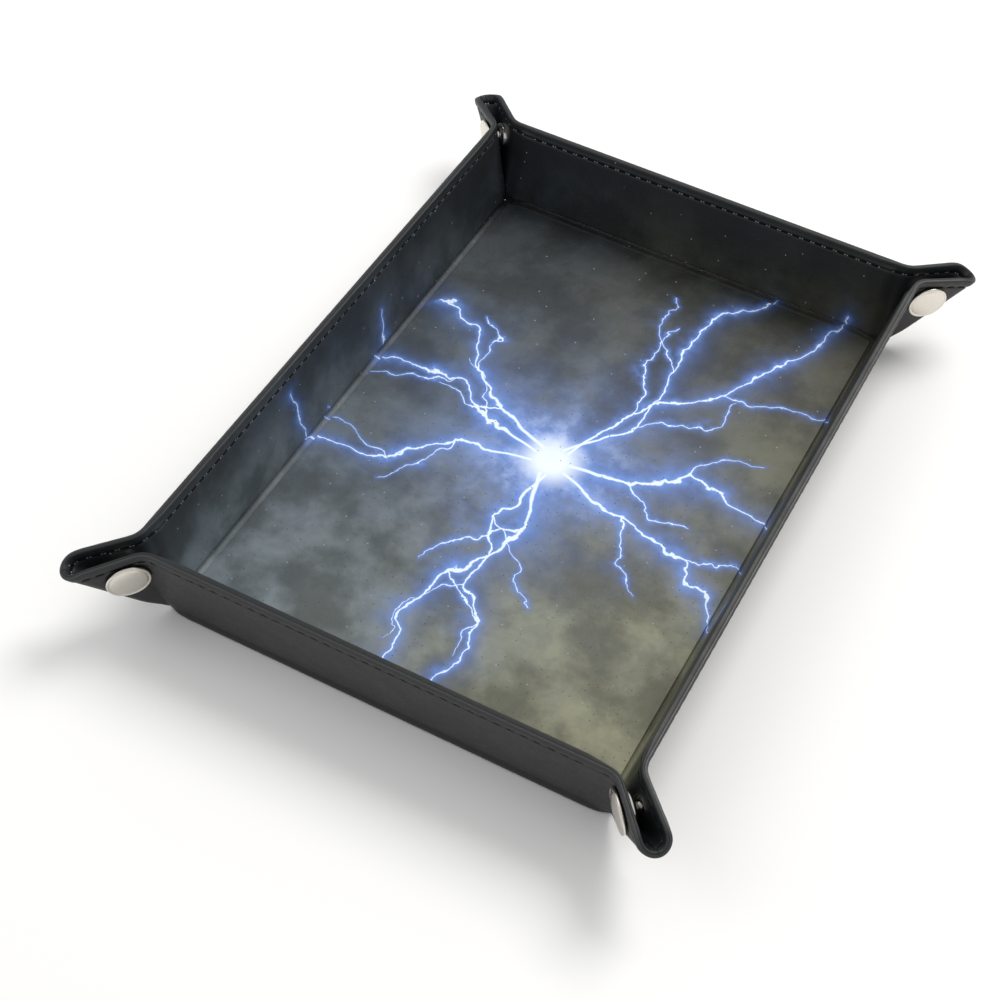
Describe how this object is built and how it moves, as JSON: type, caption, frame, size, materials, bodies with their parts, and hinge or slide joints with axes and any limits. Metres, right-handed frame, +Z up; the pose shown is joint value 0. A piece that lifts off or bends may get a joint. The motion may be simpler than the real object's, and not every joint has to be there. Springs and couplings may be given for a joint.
{
  "type": "folding dice tray",
  "caption": "Rectangular fold-flat rolling tray: leatherette laminate with stiff boards, four hinged walls and corner ears held by press studs.",
  "frame": {"origin": "centre of the underside of the standing tray", "axes": "+Z up, +Y along the long side, +X along the short side"},
  "size_m": [0.215, 0.294, 0.0358],
  "materials": {
    "outer_cover": "matte fine grain leatherette",
    "printed_lining": "satin printed leatherette",
    "laminate_tip": "matte outside, printed inside",
    "board": "raw grey board",
    "snap_cap": "satin nickel",
    "snap_metal": "polished nickel",
    "spring_wire": "bright wire"
  },
  "bodies": {
    "floor": {"floor_cover": "outer_cover", "floor_lining": "printed_lining", "floor_board": "board"},
    "left_wall": {"left_wall_cover": "outer_cover", "left_wall_lining": "printed_lining", "left_wall_board": "board"},
    "right_wall": {"right_wall_cover": "outer_cover", "right_wall_lining": "printed_lining", "right_wall_board": "board"},
    "front_wall": {"front_wall_cover": "outer_cover", "front_wall_lining": "printed_lining", "front_wall_board": "board"},
    "back_wall": {"back_wall_cover": "outer_cover", "back_wall_lining": "printed_lining", "back_wall_board": "board"},
    "front_left_short_leg": {"front_left_short_leg_cover": "outer_cover", "front_left_short_leg_lining": "printed_lining", "front_left_short_cap": "snap_cap", "front_left_socket": "snap_metal", "front_left_socket_spring": "spring_wire"},
    "front_left_short_tip": {"front_left_short_tip": "laminate_tip"},
    "front_left_long_leg": {"front_left_long_leg_cover": "outer_cover", "front_left_long_leg_lining": "printed_lining", "front_left_long_cap": "snap_cap", "front_left_stud": "snap_metal"},
    "front_left_long_tip": {"front_left_long_tip": "laminate_tip"},
    "front_right_short_leg": {"front_right_short_leg_cover": "outer_cover", "front_right_short_leg_lining": "printed_lining", "front_right_short_cap": "snap_cap", "front_right_socket": "snap_metal", "front_right_socket_spring": "spring_wire"},
    "front_right_short_tip": {"front_right_short_tip": "laminate_tip"},
    "front_right_long_leg": {"front_right_long_leg_cover": "outer_cover", "front_right_long_leg_lining": "printed_lining", "front_right_long_cap": "snap_cap", "front_right_stud": "snap_metal"},
    "front_right_long_tip": {"front_right_long_tip": "laminate_tip"},
    "back_left_short_leg": {"back_left_short_leg_cover": "outer_cover", "back_left_short_leg_lining": "printed_lining", "back_left_short_cap": "snap_cap", "back_left_socket": "snap_metal", "back_left_socket_spring": "spring_wire"},
    "back_left_short_tip": {"back_left_short_tip": "laminate_tip"},
    "back_left_long_leg": {"back_left_long_leg_cover": "outer_cover", "back_left_long_leg_lining": "printed_lining", "back_left_long_cap": "snap_cap", "back_left_stud": "snap_metal"},
    "back_left_long_tip": {"back_left_long_tip": "laminate_tip"},
    "back_right_short_leg": {"back_right_short_leg_cover": "outer_cover", "back_right_short_leg_lining": "printed_lining", "back_right_short_cap": "snap_cap", "back_right_socket": "snap_metal", "back_right_socket_spring": "spring_wire"},
    "back_right_short_tip": {"back_right_short_tip": "laminate_tip"},
    "back_right_long_leg": {"back_right_long_leg_cover": "outer_cover", "back_right_long_leg_lining": "printed_lining", "back_right_long_cap": "snap_cap", "back_right_stud": "snap_metal"},
    "back_right_long_tip": {"back_right_long_tip": "laminate_tip"}
  },
  "joints": [
    {"name": "left_wall_fold", "type": "hinge", "parent": "floor", "child": "left_wall", "pos_m": [-0.0815, 0, 0.001], "axis": [0, -1, 0], "range_deg": [0, 78]},
    {"name": "right_wall_fold", "type": "hinge", "parent": "floor", "child": "right_wall", "pos_m": [0.0815, 0, 0.001], "axis": [0, 1, 0], "range_deg": [0, 78]},
    {"name": "front_wall_fold", "type": "hinge", "parent": "floor", "child": "front_wall", "pos_m": [0, -0.121, 0.001], "axis": [1, 0, 0], "range_deg": [0, 78]},
    {"name": "back_wall_fold", "type": "hinge", "parent": "floor", "child": "back_wall", "pos_m": [0, 0.121, 0.001], "axis": [-1, 0, 0], "range_deg": [0, 78]},
    {"name": "front_left_short_leg_crease", "type": "hinge", "parent": "front_wall", "child": "front_left_short_leg", "pos_m": [-0.0815, -0.121, 0.001], "axis": [0.0523, 0.2076, -0.9768], "range_deg": [0, 48]},
    {"name": "front_left_short_tip_crease", "type": "hinge", "parent": "front_left_short_leg", "child": "front_left_short_tip", "pos_m": [-0.0815, -0.121, 0.001], "axis": [-0.4329, -0.5881, 0.6832], "range_deg": [0, 88]},
    {"name": "front_left_long_leg_crease", "type": "hinge", "parent": "left_wall", "child": "front_left_long_leg", "pos_m": [-0.0815, -0.121, 0.001], "axis": [-0.2076, -0.0523, 0.9768], "range_deg": [0, 48]},
    {"name": "front_left_long_tip_crease", "type": "hinge", "parent": "front_left_long_leg", "child": "front_left_long_tip", "pos_m": [-0.0815, -0.121, 0.001], "axis": [0.5881, 0.4329, -0.6832], "range_deg": [0, 88]},
    {"name": "front_right_short_leg_crease", "type": "hinge", "parent": "front_wall", "child": "front_right_short_leg", "pos_m": [0.0815, -0.121, 0.001], "axis": [0.0523, -0.2076, 0.9768], "range_deg": [0, 48]},
    {"name": "front_right_short_tip_crease", "type": "hinge", "parent": "front_right_short_leg", "child": "front_right_short_tip", "pos_m": [0.0815, -0.121, 0.001], "axis": [-0.4329, 0.5881, -0.6832], "range_deg": [0, 88]},
    {"name": "front_right_long_leg_crease", "type": "hinge", "parent": "right_wall", "child": "front_right_long_leg", "pos_m": [0.0815, -0.121, 0.001], "axis": [-0.2076, 0.0523, -0.9768], "range_deg": [0, 48]},
    {"name": "front_right_long_tip_crease", "type": "hinge", "parent": "front_right_long_leg", "child": "front_right_long_tip", "pos_m": [0.0815, -0.121, 0.001], "axis": [0.5881, -0.4329, 0.6832], "range_deg": [0, 88]},
    {"name": "back_left_short_leg_crease", "type": "hinge", "parent": "back_wall", "child": "back_left_short_leg", "pos_m": [-0.0815, 0.121, 0.001], "axis": [-0.0523, 0.2076, 0.9768], "range_deg": [0, 48]},
    {"name": "back_left_short_tip_crease", "type": "hinge", "parent": "back_left_short_leg", "child": "back_left_short_tip", "pos_m": [-0.0815, 0.121, 0.001], "axis": [0.4329, -0.5881, -0.6832], "range_deg": [0, 88]},
    {"name": "back_left_long_leg_crease", "type": "hinge", "parent": "left_wall", "child": "back_left_long_leg", "pos_m": [-0.0815, 0.121, 0.001], "axis": [0.2076, -0.0523, -0.9768], "range_deg": [0, 48]},
    {"name": "back_left_long_tip_crease", "type": "hinge", "parent": "back_left_long_leg", "child": "back_left_long_tip", "pos_m": [-0.0815, 0.121, 0.001], "axis": [-0.5881, 0.4329, 0.6832], "range_deg": [0, 88]},
    {"name": "back_right_short_leg_crease", "type": "hinge", "parent": "back_wall", "child": "back_right_short_leg", "pos_m": [0.0815, 0.121, 0.001], "axis": [-0.0523, -0.2076, -0.9768], "range_deg": [0, 48]},
    {"name": "back_right_short_tip_crease", "type": "hinge", "parent": "back_right_short_leg", "child": "back_right_short_tip", "pos_m": [0.0815, 0.121, 0.001], "axis": [0.4329, 0.5881, 0.6832], "range_deg": [0, 88]},
    {"name": "back_right_long_leg_crease", "type": "hinge", "parent": "right_wall", "child": "back_right_long_leg", "pos_m": [0.0815, 0.121, 0.001], "axis": [0.2076, 0.0523, 0.9768], "range_deg": [0, 48]},
    {"name": "back_right_long_tip_crease", "type": "hinge", "parent": "back_right_long_leg", "child": "back_right_long_tip", "pos_m": [0.0815, 0.121, 0.001], "axis": [-0.5881, -0.4329, -0.6832], "range_deg": [0, 88]}
  ],
  "couplings": [
    {"joint": "right_wall_fold", "follows": "left_wall_fold", "ratio": 1},
    {"joint": "front_wall_fold", "follows": "left_wall_fold", "ratio": 1},
    {"joint": "back_wall_fold", "follows": "left_wall_fold", "ratio": 1},
    {"joint": "front_left_short_leg_crease", "follows": "left_wall_fold", "ratio": 0.61456},
    {"joint": "front_left_short_tip_crease", "follows": "left_wall_fold", "ratio": 1.1276},
    {"joint": "front_left_long_leg_crease", "follows": "left_wall_fold", "ratio": 0.61456},
    {"joint": "front_left_long_tip_crease", "follows": "left_wall_fold", "ratio": 1.1276},
    {"joint": "front_right_short_leg_crease", "follows": "left_wall_fold", "ratio": 0.61456},
    {"joint": "front_right_short_tip_crease", "follows": "left_wall_fold", "ratio": 1.1276},
    {"joint": "front_right_long_leg_crease", "follows": "left_wall_fold", "ratio": 0.61456},
    {"joint": "front_right_long_tip_crease", "follows": "left_wall_fold", "ratio": 1.1276},
    {"joint": "back_left_short_leg_crease", "follows": "left_wall_fold", "ratio": 0.61456},
    {"joint": "back_left_short_tip_crease", "follows": "left_wall_fold", "ratio": 1.1276},
    {"joint": "back_left_long_leg_crease", "follows": "left_wall_fold", "ratio": 0.61456},
    {"joint": "back_left_long_tip_crease", "follows": "left_wall_fold", "ratio": 1.1276},
    {"joint": "back_right_short_leg_crease", "follows": "left_wall_fold", "ratio": 0.61456},
    {"joint": "back_right_short_tip_crease", "follows": "left_wall_fold", "ratio": 1.1276},
    {"joint": "back_right_long_leg_crease", "follows": "left_wall_fold", "ratio": 0.61456},
    {"joint": "back_right_long_tip_crease", "follows": "left_wall_fold", "ratio": 1.1276}
  ]
}
